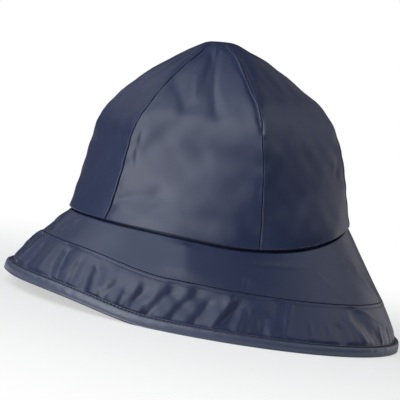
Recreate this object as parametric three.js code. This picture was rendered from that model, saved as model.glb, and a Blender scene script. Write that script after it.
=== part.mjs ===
// A rain hat of coated cloth: a crown of six sewn panels, a brim of two bands and a bound edge.
// Millimetres, +Z up. The front of the hat looks along -Y and the wearer's left is +X.
// It stands on its brim on Z = 0, with the middle of the brim's outline at the origin.

import * as THREE from 'three';

const { degToRad, clamp, lerp, smoothstep } = THREE.MathUtils;

// Head opening: the crown's outside at its bottom seam
const HEAD_LENGTH = 200;
const HEAD_BREADTH = 175;

// How the crown stands over the floor
const CROWN_HEIGHT = 124;
const CROWN_STAND = 64;
const CROWN_TILT = degToRad(7);
const SEAM_DIP = 6.5;
const BACK_RISE = 1.3;

// How far the brim reaches past the crown, level with the floor
const FRONT_REACH = 36.4;
const SIDE_REACH = 37.2;
const BACK_REACH = 51.9;
const VISOR_LIFT = 9;
const VISOR_TURN = degToRad(57);

// The brim's lower band, and how the brim bows out of a straight line from crown to floor
const BAND_WIDTH = 37.4;
const BRIM_BOW = 1.1;
const BACK_BOW = 3.4;
const BAND_BULGE = 1;

// Cloth, the gap left at every seam, and the crown's turned-under foot
const CLOTH = 1.4;
const SEAM_GAP = 0.3;
const FOOT_TUCK = 2;
const FOOT_DROP = 1;
const ROOT_INSET = 2.4;
const ROOT_DROP = 2.1;

// Seams between panels lie a little below the cloth beside them
const SEAM_SINK = 0.9;
const SEAM_ROLL = 2.6;

// Binding: a folded strip with a slot for the cloth and a narrow flat foot
const BINDING_WIDTH = 8;
const BINDING_WALL = 1;
const BINDING_NOSE = 1.4;
const BINDING_FOOT = 2;
const BINDING_ROUND = 0.5;

// Folds: the size of a row of width 1 and depth 1 in the tables below
const FOLD_WIDTH = 9;
const FOLD_DEPTH = 2.4;
const PUCKER_WIDTH = 6;
const PUCKER_DEPTH = 2.4;
const PUCKER_FADE = 7;
const ROOT_FADE = 6;

// How finely each solid is divided
const CROWN_ROWS = 16;
const UPPER_COLUMNS = 96;
const LOWER_COLUMNS = 168;
const BINDING_COLUMNS = 96;

// Crown sections from the bottom seam to the middle of the top. up is a share of the crown's
// height, length and breadth are shares of the head's, back is a share of its length that the
// section sits back, and flat is how far the cloth is drawn straight between two seams.
const CROWN_SECTIONS = [
  { up: 0.0, length: 1.0, breadth: 1.0, back: 0.0, flat: 0.0 },
  { up: 0.06, length: 0.983, breadth: 0.988, back: 0.003, flat: 0.0 },
  { up: 0.13, length: 0.968, breadth: 0.976, back: 0.004, flat: 0.0 },
  { up: 0.25, length: 0.939, breadth: 0.948, back: 0.006, flat: 0.05 },
  { up: 0.4, length: 0.901, breadth: 0.914, back: 0.008, flat: 0.1 },
  { up: 0.52, length: 0.857, breadth: 0.879, back: 0.004, flat: 0.2 },
  { up: 0.62, length: 0.788, breadth: 0.825, back: 0.006, flat: 0.3 },
  { up: 0.7, length: 0.697, breadth: 0.745, back: 0.007, flat: 0.4 },
  { up: 0.78, length: 0.576, breadth: 0.628, back: 0.0, flat: 0.5 },
  { up: 0.86, length: 0.437, breadth: 0.486, back: -0.002, flat: 0.5 },
  { up: 0.93, length: 0.296, breadth: 0.336, back: 0.0, flat: 0.5 },
  { up: 0.99, length: 0.15, breadth: 0.17, back: -0.008, flat: 0.4 },
  { up: 1.007, length: 0.085, breadth: 0.096, back: -0.01, flat: 0.3 },
  { up: 1.008, length: 0.045, breadth: 0.051, back: -0.01, flat: 0.2 },
  { up: 1.0, length: 0.015, breadth: 0.017, back: -0.01, flat: 0.0 },
];

// Panels, from the seam at one turn to the seam at the next, in degrees from the front.
const PANELS = [
  { name: 'crown_panel_front', from: -28, to: 28, colour: 0x2b3350 },
  { name: 'crown_panel_left_front', from: 28, to: 90, colour: 0x303858 },
  { name: 'crown_panel_left_back', from: 90, to: 152, colour: 0x2b3350 },
  { name: 'crown_panel_back', from: 152, to: 208, colour: 0x303858 },
  { name: 'crown_panel_right_back', from: 208, to: 270, colour: 0x2b3350 },
  { name: 'crown_panel_right_front', from: 270, to: 332, colour: 0x303858 },
];
// Shares of a panel's width where it is divided, closer at its seams
const PANEL_COLUMNS = [0, 0.05, 0.16, 0.33, 0.5, 0.67, 0.84, 0.95, 1];

// Folds. Each is a stroke from (turn, at) to (toTurn, to), with turns in degrees from the front
// towards the wearer's left and at and to as shares of the piece's height, upwards on the crown
// and outwards on the brim. wide and deep are shares of the named fold sizes. A negative deep
// stands out as a ridge.
const CROWN_FOLDS = [
  { turn: 51, at: 0.9, toTurn: 64, to: 0.64, wide: 1.1, deep: 0.7 },
  { turn: 32, at: 0.79, toTurn: 47, to: 0.66, wide: 1.0, deep: 0.6 },
  { turn: 30, at: 0.41, toTurn: 36, to: 0.35, wide: 0.7, deep: 0.5 },
  { turn: 30, at: 0.17, toTurn: 41, to: 0.28, wide: 1.0, deep: 0.5 },
  { turn: 83, at: 0.13, toTurn: 73, to: 0.24, wide: 1.9, deep: 0.8 },
  { turn: 84, at: 0.6, toTurn: 86, to: 0.52, wide: 0.9, deep: 0.7 },
  { turn: 91, at: 0.64, toTurn: 92, to: 0.53, wide: 0.6, deep: -0.7 },
  { turn: 118, at: 0.72, toTurn: 112, to: 0.5, wide: 1.6, deep: 0.6 },
  { turn: 0, at: 0.8, toTurn: -6, to: 0.5, wide: 1.6, deep: 0.6 },
  { turn: 182, at: 0.78, toTurn: 176, to: 0.5, wide: 1.5, deep: 0.6 },
  { turn: 198, at: 0.16, toTurn: 188, to: 0.3, wide: 1.5, deep: 0.6 },
  { turn: 238, at: 0.82, toTurn: 246, to: 0.52, wide: 1.4, deep: 0.7 },
  { turn: 262, at: 0.14, toTurn: 250, to: 0.26, wide: 1.6, deep: 0.7 },
  { turn: 300, at: 0.86, toTurn: 296, to: 0.58, wide: 1.2, deep: 0.7 },
  { turn: 322, at: 0.2, toTurn: 312, to: 0.3, wide: 1.2, deep: 0.6 },
];
const UPPER_FOLDS = [
  { turn: -30, at: 0.6, toTurn: -24, to: 1.0, wide: 1.8, deep: -1.1 },
  { turn: 0, at: 0.12, toTurn: 7.5, to: 0.9, wide: 0.8, deep: -0.9 },
  { turn: -17, at: 0.3, toTurn: -12, to: 1.0, wide: 1.1, deep: 0.8 },
  { turn: 14, at: 0.3, toTurn: 17, to: 0.9, wide: 1.2, deep: 0.4 },
  { turn: 84, at: 0.6, toTurn: 85, to: 1.0, wide: 1.2, deep: -0.6 },
  { turn: 113, at: 0.4, toTurn: 122, to: 1.0, wide: 1.0, deep: -0.8 },
  { turn: 137, at: 0.5, toTurn: 146, to: 0.9, wide: 0.9, deep: -0.7 },
  { turn: 160, at: 0.4, toTurn: 158, to: 1.0, wide: 1.3, deep: 0.7 },
  { turn: 190, at: 0.3, toTurn: 196, to: 0.95, wide: 1.1, deep: -0.7 },
  { turn: 214, at: 0.35, toTurn: 209, to: 0.95, wide: 1.2, deep: 0.7 },
  { turn: 246, at: 0.45, toTurn: 240, to: 1.0, wide: 1.0, deep: -0.8 },
  { turn: 276, at: 0.5, toTurn: 273, to: 1.0, wide: 1.2, deep: -0.6 },
  { turn: 312, at: 0.4, toTurn: 318, to: 0.95, wide: 1.1, deep: 0.6 },
];
const LOWER_FOLDS = [
  { turn: -24, at: 0.0, toTurn: -22, to: 0.4, wide: 2.4, deep: -1.2 },
  { turn: -12, at: 0.05, toTurn: -10, to: 1.0, wide: 0.9, deep: 0.9 },
  { turn: -4, at: 0.0, toTurn: -5, to: 1.0, wide: 0.7, deep: -0.8 },
  { turn: 0, at: 0.18, toTurn: 4, to: 1.0, wide: 0.8, deep: 0.8 },
  { turn: 11, at: 0.1, toTurn: 13, to: 1.0, wide: 1.4, deep: 0.6 },
  { turn: 19.5, at: 0.22, toTurn: 21, to: 1.0, wide: 0.9, deep: 0.9 },
  { turn: 33, at: 0.2, toTurn: 36, to: 1.0, wide: 0.9, deep: 1.0 },
  { turn: 42, at: 0.37, toTurn: 41, to: 1.0, wide: 0.8, deep: 0.8 },
  { turn: 46, at: 0.44, toTurn: 46, to: 1.0, wide: 0.6, deep: 0.7 },
  { turn: 49.5, at: 0.34, toTurn: 49.5, to: 1.0, wide: 0.7, deep: 0.8 },
  { turn: 58, at: 0.17, toTurn: 54, to: 1.0, wide: 0.9, deep: 1.1 },
  { turn: 65.5, at: 0.18, toTurn: 60.5, to: 1.0, wide: 1.0, deep: 1.3 },
  { turn: 72, at: 0.42, toTurn: 67, to: 1.0, wide: 0.8, deep: 0.9 },
  { turn: 79.5, at: 0.14, toTurn: 73, to: 1.0, wide: 1.1, deep: 1.3 },
  { turn: 84.5, at: 0.0, toTurn: 77.5, to: 0.9, wide: 1.2, deep: -0.7 },
  { turn: 87, at: 0.48, toTurn: 85, to: 1.0, wide: 0.7, deep: 0.7 },
  { turn: 92.5, at: 0.2, toTurn: 89.5, to: 1.0, wide: 1.0, deep: 1.0 },
  { turn: 97.5, at: 0.48, toTurn: 96, to: 1.0, wide: 0.8, deep: 0.7 },
  { turn: 109, at: 0.4, toTurn: 107, to: 1.0, wide: 0.9, deep: 0.6 },
  { turn: 116, at: 0.45, toTurn: 116, to: 1.0, wide: 0.8, deep: 0.6 },
  { turn: 123, at: 0.15, toTurn: 130, to: 0.9, wide: 1.3, deep: 1.2 },
  { turn: 136, at: 0.45, toTurn: 137, to: 1.0, wide: 0.7, deep: 0.7 },
  { turn: 144, at: 0.4, toTurn: 142, to: 1.0, wide: 0.8, deep: 0.7 },
  { turn: 155, at: 0.2, toTurn: 151, to: 1.0, wide: 1.0, deep: 1.0 },
  { turn: 164, at: 0.35, toTurn: 161, to: 1.0, wide: 0.8, deep: 0.8 },
  { turn: 172, at: 0.15, toTurn: 175, to: 1.0, wide: 1.0, deep: 1.0 },
  { turn: 184, at: 0.4, toTurn: 183, to: 1.0, wide: 0.7, deep: 0.8 },
  { turn: 192, at: 0.2, toTurn: 195, to: 1.0, wide: 0.9, deep: 1.1 },
  { turn: 203, at: 0.42, toTurn: 202, to: 1.0, wide: 0.8, deep: 0.7 },
  { turn: 214, at: 0.16, toTurn: 209, to: 1.0, wide: 1.1, deep: 1.2 },
  { turn: 222, at: 0.4, toTurn: 221, to: 1.0, wide: 0.7, deep: 0.8 },
  { turn: 233, at: 0.22, toTurn: 237, to: 1.0, wide: 1.0, deep: 1.1 },
  { turn: 246, at: 0.36, toTurn: 245, to: 1.0, wide: 0.9, deep: 0.8 },
  { turn: 256, at: 0.18, toTurn: 259, to: 1.0, wide: 1.0, deep: 1.1 },
  { turn: 267, at: 0.4, toTurn: 267, to: 1.0, wide: 0.8, deep: 0.8 },
  { turn: 275, at: 0.16, toTurn: 280, to: 1.0, wide: 1.0, deep: 1.2 },
  { turn: 289, at: 0.3, toTurn: 292, to: 1.0, wide: 0.9, deep: 0.9 },
  { turn: 300, at: 0.2, toTurn: 303, to: 1.0, wide: 1.0, deep: 1.1 },
  { turn: 312, at: 0.36, toTurn: 312, to: 1.0, wide: 0.8, deep: 0.8 },
  { turn: 321, at: 0.18, toTurn: 325, to: 1.0, wide: 1.0, deep: 1.0 },
  { turn: 336, at: 0.25, toTurn: 335, to: 1.0, wide: 0.9, deep: 0.9 },
];

// Rows of the brim's bands, as shares from the outer edge of the band to its inner edge
const UPPER_ROWS = [1, 0.7, 0.35, 0];
const LOWER_ROWS = [1, 0.79, 0.64, 0.44, 0.22, 0];

const bindingHalf = CLOTH / 2 + SEAM_GAP + BINDING_WALL;
const edgeHalfLength = (HEAD_LENGTH * Math.cos(CROWN_TILT) + FRONT_REACH + BACK_REACH) / 2;
const edgeHalfBreadth = HEAD_BREADTH / 2 + SIDE_REACH;
const crownBack = (FRONT_REACH - BACK_REACH) / 2;

// Where the crown's own frame sits: leaning forward over the brim
const crownPlace = new THREE.Matrix4().makeRotationX(CROWN_TILT);
crownPlace.setPosition(0, crownBack, CROWN_STAND);

const crownShape = new THREE.CatmullRomCurve3(
  CROWN_SECTIONS.map((row) => new THREE.Vector3(row.length, row.breadth, row.up)),
  false, 'catmullrom', 0.5,
);
const crownDrape = new THREE.CatmullRomCurve3(
  CROWN_SECTIONS.map((row) => new THREE.Vector3(row.back, row.flat, row.up)),
  false, 'catmullrom', 0.5,
);

// A point of an oval round the Z axis. Turn 0 is the front and a quarter turn the wearer's left.
function ovalPoint(halfBreadth, halfLength, turn) {
  return new THREE.Vector3(halfBreadth * Math.sin(turn), -halfLength * Math.cos(turn), 0);
}

function ovalOutward(halfBreadth, halfLength, turn) {
  return ovalPoint(halfLength, halfBreadth, turn).normalize();
}

// The bottom seam dips over the ears and is highest at the back.
function seamHeight(turn) {
  return SEAM_DIP * Math.cos(2 * turn) - BACK_RISE * Math.cos(3 * turn);
}

// A difference of turns, brought between half a turn back and half a turn on.
function wrapTurn(turn) {
  return Math.atan2(Math.sin(turn), Math.cos(turn));
}

// How far the folds move the cloth outwards at one place of a piece of a given radius and
// height. Across a stroke the cloth makes a valley with low shoulders.
function foldHeight(folds, turn, share, radius, height, width, depth) {
  let total = 0;
  for (const fold of folds) {
    const across = radius * wrapTurn(turn - degToRad(fold.turn));
    const place = new THREE.Vector2(across, height * (share - fold.at));
    const stroke = new THREE.Vector2(
      radius * degToRad(fold.toTurn - fold.turn),
      height * (fold.to - fold.at),
    );
    const run = clamp(place.dot(stroke) / stroke.lengthSq(), 0, 1);
    const away = place.distanceTo(stroke.multiplyScalar(run)) / (width * fold.wide);
    total -= depth * fold.deep * (1 - away * away) * Math.exp(-away * away);
  }
  return total;
}

// The crown as a smooth bell, in its own frame, before its panels are drawn straight.
function bellPoint(turn, rise) {
  const shape = crownShape.getPoint(rise);
  const drape = crownDrape.getPoint(rise);
  const halfBreadth = (shape.y * HEAD_BREADTH) / 2;
  const halfLength = (shape.x * HEAD_LENGTH) / 2;
  const point = ovalPoint(halfBreadth, halfLength, turn);
  point.y += drape.x * HEAD_LENGTH;
  point.z = shape.z * CROWN_HEIGHT + seamHeight(turn) * Math.max(0, 1 - shape.z) ** 2;
  return point;
}

function bellOutward(turn, rise) {
  const step = 0.001;
  const low = clamp(rise, step, 1 - step);
  const round = bellPoint(turn + step, low).sub(bellPoint(turn - step, low));
  const upward = bellPoint(turn, low + step).sub(bellPoint(turn, low - step));
  return round.cross(upward).normalize();
}

// One place of a crown panel, outside and inside: the bell, drawn flatter between two seams,
// folded, and sunk a little where the panel is sewn to its neighbours.
function panelPlace(panel, share, rise) {
  const shape = crownShape.getPoint(rise);
  const flat = crownDrape.getPoint(rise).y;
  const radius = (shape.x * HEAD_LENGTH + shape.y * HEAD_BREADTH) / 4;
  const inset = SEAM_GAP / 2 / radius;
  const first = degToRad(panel.from) + inset;
  const last = degToRad(panel.to) - inset;
  const turn = lerp(first, last, share);
  const straight = bellPoint(first, rise).lerp(bellPoint(last, rise), share);
  const toSeam = radius * (last - first) * Math.min(share, 1 - share);
  const sunk = SEAM_SINK * Math.exp(-((toSeam / SEAM_ROLL) ** 2));
  const fold = foldHeight(CROWN_FOLDS, turn, shape.z, radius, CROWN_HEIGHT, FOLD_WIDTH, FOLD_DEPTH);
  const outward = bellOutward(turn, rise);
  const outside = bellPoint(turn, rise).lerp(straight, flat).addScaledVector(outward, fold - sunk);
  const inside = outside.clone().addScaledVector(outward, -CLOTH);
  return { outside, inside, outward };
}

// A cut through one panel from the bottom to the top and back down inside. Its foot is turned
// under, towards the seam that joins it to the brim.
function panelSection(panel, share) {
  const outer = [];
  const inner = [];
  const foot = panelPlace(panel, share, 0);
  const tucked = foot.outside.clone().addScaledVector(foot.outward, -FOOT_TUCK);
  tucked.z -= FOOT_DROP;
  outer.push(tucked);
  inner.push(tucked.clone().setZ(tucked.z + CLOTH));
  for (let row = 0; row <= CROWN_ROWS; row += 1) {
    const place = panelPlace(panel, share, row / CROWN_ROWS);
    if (row === 0) place.inside.z += CLOTH / 2;
    outer.push(place.outside);
    inner.push(place.inside);
  }
  return [...outer, ...inner.reverse()];
}

// The lines of the brim at one turn: the root under the crown's foot, the outer edge on the
// floor, the seam between the two bands, and the ways down the cloth and out of it.
function brimLines(turn) {
  const root = ovalPoint(HEAD_BREADTH / 2 - ROOT_INSET, HEAD_LENGTH / 2 - ROOT_INSET, turn);
  root.z = seamHeight(turn) - ROOT_DROP;
  root.applyMatrix4(crownPlace);
  const edge = ovalPoint(edgeHalfBreadth, edgeHalfLength, turn);
  edge.z = VISOR_LIFT * smoothstep(Math.cos(turn), Math.cos(VISOR_TURN), 1);
  const level = ovalOutward(edgeHalfBreadth, edgeHalfLength, turn);
  const down = edge.clone().sub(root).normalize();
  const outward = level.clone().addScaledVector(down, -level.dot(down)).normalize();
  const bow = lerp(BRIM_BOW, BACK_BOW, Math.max(0, -Math.cos(turn)) ** 2);
  const seam = edge.clone().addScaledVector(down, -BAND_WIDTH).addScaledVector(outward, bow);
  return { root, edge, seam, level, outward };
}

// A cut through a band, from its outer edge up to its inner edge and back underneath.
function bandSection(turn, start, end, rows, fold) {
  const { outward } = brimLines(turn);
  const outer = rows.map((share) => (
    start.clone().lerp(end, share).addScaledVector(outward, fold(share) + CLOTH / 2)
  ));
  const inner = outer.map((point) => point.clone().addScaledVector(outward, -CLOTH));
  return [...outer, ...inner.reverse()];
}

function upperSection(turn) {
  const { root, seam } = brimLines(turn);
  const radius = (edgeHalfBreadth + edgeHalfLength) / 2 - BAND_WIDTH / 2;
  const width = root.distanceTo(seam);
  return bandSection(turn, root, seam, UPPER_ROWS, (share) => (
    smoothstep(share * width, 0, ROOT_FADE)
    * foldHeight(UPPER_FOLDS, turn, share, radius, width, FOLD_WIDTH, FOLD_DEPTH)
  ));
}

// The lower band bulges a little, and its puckers die out where the binding holds it flat.
function lowerSection(turn) {
  const { seam, edge } = brimLines(turn);
  const down = edge.clone().sub(seam).normalize();
  const top = seam.clone().addScaledVector(down, SEAM_GAP);
  const foot = edge.clone().addScaledVector(down, -BINDING_NOSE - SEAM_GAP);
  const radius = (edgeHalfBreadth + edgeHalfLength) / 2;
  const width = top.distanceTo(foot);
  const bound = BINDING_WIDTH - BINDING_NOSE;
  return bandSection(turn, top, foot, LOWER_ROWS, (share) => {
    const loose = smoothstep(width * (1 - share), bound, bound + PUCKER_FADE);
    const bulge = BAND_BULGE * 4 * share * (1 - share);
    const pucker = foldHeight(LOWER_FOLDS, turn, share, radius, width, PUCKER_WIDTH, PUCKER_DEPTH);
    return loose * (bulge + pucker);
  });
}

// The binding's section: out round the cloth's edge, over a flat foot, and back to the slot.
function bindingSection(turn) {
  const { seam, edge, level, outward } = brimLines(turn);
  const up = seam.clone().sub(edge).normalize();
  const slot = CLOTH / 2 + SEAM_GAP;
  const at = (along, out) => edge.clone().addScaledVector(up, along).addScaledVector(outward, out);
  const foot = (out) => edge.clone().addScaledVector(level, out);
  return [
    foot(BINDING_FOOT / 2),
    at(BINDING_NOSE, bindingHalf),
    at(BINDING_WIDTH - BINDING_ROUND, bindingHalf),
    at(BINDING_WIDTH, bindingHalf - BINDING_ROUND),
    at(BINDING_WIDTH, slot),
    at(BINDING_NOSE, slot),
    at(BINDING_NOSE, -slot),
    at(BINDING_WIDTH, -slot),
    at(BINDING_WIDTH, BINDING_ROUND - bindingHalf),
    at(BINDING_WIDTH - BINDING_ROUND, -bindingHalf),
    at(BINDING_NOSE, -bindingHalf),
    foot(-BINDING_FOOT / 2),
  ];
}

// Joins closed cuts of equal length into one body. The last cut of a ring meets its first, and
// any other body is closed at both ends.
function loft(cuts, isRing) {
  const size = cuts[0].length;
  const index = [];
  const quad = (a, b, c, d) => index.push(a, b, c, a, c, d);
  const spans = isRing ? cuts.length : cuts.length - 1;
  for (let span = 0; span < spans; span += 1) {
    const here = span * size;
    const next = ((span + 1) % cuts.length) * size;
    for (let i = 0; i < size; i += 1) {
      const j = (i + 1) % size;
      quad(here + i, next + i, next + j, here + j);
    }
  }
  if (!isRing) {
    const end = (cuts.length - 1) * size;
    for (let i = 0; i < size / 2 - 1; i += 1) {
      const far = size - 1 - i;
      quad(i, i + 1, far - 1, far);
      quad(end + far, end + far - 1, end + i + 1, end + i);
    }
  }
  const geometry = new THREE.BufferGeometry();
  const points = cuts.flat().flatMap((point) => point.toArray());
  geometry.setAttribute('position', new THREE.Float32BufferAttribute(points, 3));
  geometry.setIndex(index);
  geometry.computeVertexNormals();
  return geometry;
}

function ring(columns, section) {
  const cuts = [];
  for (let column = 0; column < columns; column += 1) {
    cuts.push(section((2 * Math.PI * column) / columns));
  }
  return loft(cuts, true);
}

function clothMesh(name, geometry, colour) {
  const material = new THREE.MeshStandardMaterial({ color: colour, roughness: 0.42, metalness: 0 });
  const mesh = new THREE.Mesh(geometry, material);
  mesh.name = name;
  return mesh;
}

const crown = new THREE.Group();
crown.applyMatrix4(crownPlace);
for (const panel of PANELS) {
  const cuts = PANEL_COLUMNS.map((share) => panelSection(panel, share));
  crown.add(clothMesh(panel.name, loft(cuts, false), panel.colour));
}

const hat = new THREE.Group();
hat.name = 'rain_hat';
hat.add(crown);
hat.add(clothMesh('brim_upper_band', ring(UPPER_COLUMNS, upperSection), 0x2e3655));
hat.add(clothMesh('brim_lower_band', ring(LOWER_COLUMNS, lowerSection), 0x333b5c));
hat.add(clothMesh('edge_binding', ring(BINDING_COLUMNS, bindingSection), 0x3a4366));

export default hat;
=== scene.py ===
# A sou wester: a rain hat of smooth navy cloth, sewn from six crown panels and two brim bands,
# with a bound edge. Metres, +Z up. The front looks along -Y and the wearer's left is +X.

import math

import bpy
import numpy as np
from mathutils import Matrix, Vector


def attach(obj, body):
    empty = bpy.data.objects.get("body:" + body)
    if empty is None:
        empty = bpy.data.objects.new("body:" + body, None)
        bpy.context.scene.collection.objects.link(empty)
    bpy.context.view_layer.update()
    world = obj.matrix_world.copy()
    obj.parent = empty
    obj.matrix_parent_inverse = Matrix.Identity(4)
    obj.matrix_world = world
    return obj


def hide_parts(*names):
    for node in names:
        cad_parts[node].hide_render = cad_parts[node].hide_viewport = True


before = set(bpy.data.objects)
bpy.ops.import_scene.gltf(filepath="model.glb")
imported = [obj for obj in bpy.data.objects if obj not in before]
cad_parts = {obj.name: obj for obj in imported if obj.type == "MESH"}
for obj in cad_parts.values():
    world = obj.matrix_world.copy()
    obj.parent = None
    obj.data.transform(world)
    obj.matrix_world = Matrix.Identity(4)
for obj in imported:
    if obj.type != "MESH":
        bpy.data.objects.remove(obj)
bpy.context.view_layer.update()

# Camera. It looks at the wearer's left from a little in front and just above the brim, and it
# leans over, so that the brim's edge slopes down to the right of the picture.
CAMERA_TURN = math.radians(66.4)
CAMERA_RISE = math.radians(3.93)
CAMERA_LEAN = math.radians(11.0)
CAMERA_AWAY = 1.3
CAMERA_TARGET = Vector((-0.0046, -0.0158, 0.0777))
CAMERA_LENS = 168.2


def facing(turn, rise):
    """The way from the hat towards something that stands at that turn and height."""
    level = math.cos(rise)
    return Vector((math.sin(turn) * level, -math.cos(turn) * level, math.sin(rise)))


def look_from(thing, target, away, turn, rise, lean=0.0):
    """Puts a camera or a lamp at a distance from target and points it there."""
    back = facing(turn, rise)
    level = Vector((math.cos(turn), math.sin(turn), 0.0))
    upright = back.cross(level)
    right = level * math.cos(lean) + upright * math.sin(lean)
    up = upright * math.cos(lean) - level * math.sin(lean)
    pose = Matrix((right, up, back)).transposed().to_4x4()
    pose.translation = target + back * away
    thing.matrix_world = pose


camera = bpy.data.objects.new("camera", bpy.data.cameras.new("camera"))
bpy.context.scene.collection.objects.link(camera)
camera.data.sensor_width = 36.0
camera.data.lens = CAMERA_LENS
look_from(camera, CAMERA_TARGET, CAMERA_AWAY, CAMERA_TURN, CAMERA_RISE, CAMERA_LEAN)
bpy.context.scene.camera = camera

# Crown panels. Six gores of coated cloth, sewn edge to edge with the allowances pressed away
# from every second panel, and turned under at the foot where the brim is sewn on. The cloth is
# polyurethane on a knitted back: a smooth satin face outside and a soft dull one inside.
HEAD_LENGTH = 0.200
HEAD_BREADTH = 0.175
CROWN_HEIGHT = 0.124
CROWN_STAND = 0.064
CROWN_BACK = -0.00775
CROWN_TILT = math.radians(7.0)
SEAM_DIP = 0.0065
BACK_RISE = 0.0013
TEMPLE_RISE = 0.0010
TEMPLE_AT = 0.6
TEMPLE_SPREAD = 0.3
# The seam beside the front panel, in degrees, and how far it sways in below a share of the rise
BROW_SEAM = 28
BROW_SWAY = math.radians(3.8)
BROW_SWAY_TOP = 0.6
CLOTH = 0.0009
# Sections from the foot to the tip: up as a share of the crown's height, length and breadth as
# shares of the head's, back as a share of its length, and how far the cloth is drawn straight
# between two seams
CROWN_SECTIONS = (
    (0.0, 1.0, 1.0, 0.0, 0.1),
    (0.06, 0.983, 0.988, 0.003, 0.15),
    (0.13, 0.968, 0.976, 0.004, 0.3),
    (0.25, 0.939, 0.948, 0.006, 0.55),
    (0.4, 0.901, 0.914, 0.008, 0.78),
    (0.52, 0.857, 0.879, 0.004, 0.88),
    (0.62, 0.788, 0.825, 0.006, 0.9),
    (0.7, 0.697, 0.745, 0.007, 0.9),
    (0.78, 0.576, 0.628, 0.0, 0.85),
    (0.86, 0.437, 0.486, -0.002, 0.7),
    (0.93, 0.296, 0.336, 0.0, 0.6),
    (0.99, 0.15, 0.17, -0.008, 0.5),
    (1.007, 0.085, 0.096, -0.01, 0.3),
    (1.008, 0.045, 0.051, -0.01, 0.2),
    (1.0, 0.004, 0.005, -0.01, 0.0),
)
# A panel and its two seams. Each seam has the height of the ridge that its pressed allowance
# raises beside it near the foot and near the tip, and how wide it gapes.
PANELS = (
    ("crown_panel_front", -BROW_SEAM, BROW_SEAM, (0.0002, 0.0001, 1.0), (0.0007, 0.0001, 3.2)),
    ("crown_panel_left_front", BROW_SEAM, 90, (0.0, 0.0, 2.6), (0.0, 0.0004, 2.4)),
    ("crown_panel_left_back", 90, 152, (0.0004, 0.0, 1.5), (0.0005, 0.0001, 1.0)),
    ("crown_panel_back", 152, 208, (0.0, 0.0, 1.0), (0.0004, 0.0001, 1.2)),
    ("crown_panel_right_back", 208, 270, (0.0, 0.0, 1.2), (0.0002, 0.0003, 1.0)),
    ("crown_panel_right_front", 270, 360 - BROW_SEAM, (0.0006, 0.0, 1.0), (0.0005, 0.0001, 1.0)),
)
PANEL_COLUMNS = 113
PANEL_ROWS = 151
# The cloth rolls over into a narrow seam, where the allowances go on down side by side
SEAM_GAP = 0.00016
GAP_SHARE = 0.06
SEAM_ROLL = 0.0003
SEAM_SINK = 0.0005
SEAM_SOFT = 0.0040
SEAM_DEEP = 0.0018
# The allowance's way in, as shares of its depth and of the way to the seam line
SEAM_STEPS = ((1 / 3, 0.1), (2 / 3, 0.5), (1, 1))
RIDGE_OFF = 0.0014
RIDGE_WIDE = 0.0009
RIDGE_FADE = (0.3, 0.65)
RIDGE_RISE = (0.7, 0.9)
# Small waves that the stitches draw into the cloth beside a seam, with their radians a metre
WAVE_HIGH = 0.0002
WAVE_REACH = 0.006
WAVE_PITCH = 450
# Everything that lifts the cloth dies away between these two radii at the tip
TIP_FADE = (0.002, 0.02)
# A slow unevenness of the whole panel
CROWN_DRIFT = 0.0004
# The foot curls under by so many degrees
FOOT_TURN = 150
FOOT_RISE = 0.016
FOOT_CURL = 0.0007
FOOT_ROWS = 12
# Folds run from a turn and share to another. Each has the half width at its start and, as a
# share of that, at its end, its depth, how crisp its line is, and how far it leans: a fold that
# leans is wide on the side of the greater turn. A negative depth stands out as a ridge. The
# last number bows the fold's middle towards the greater turn.
FOLD_UNIT = 0.001
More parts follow.
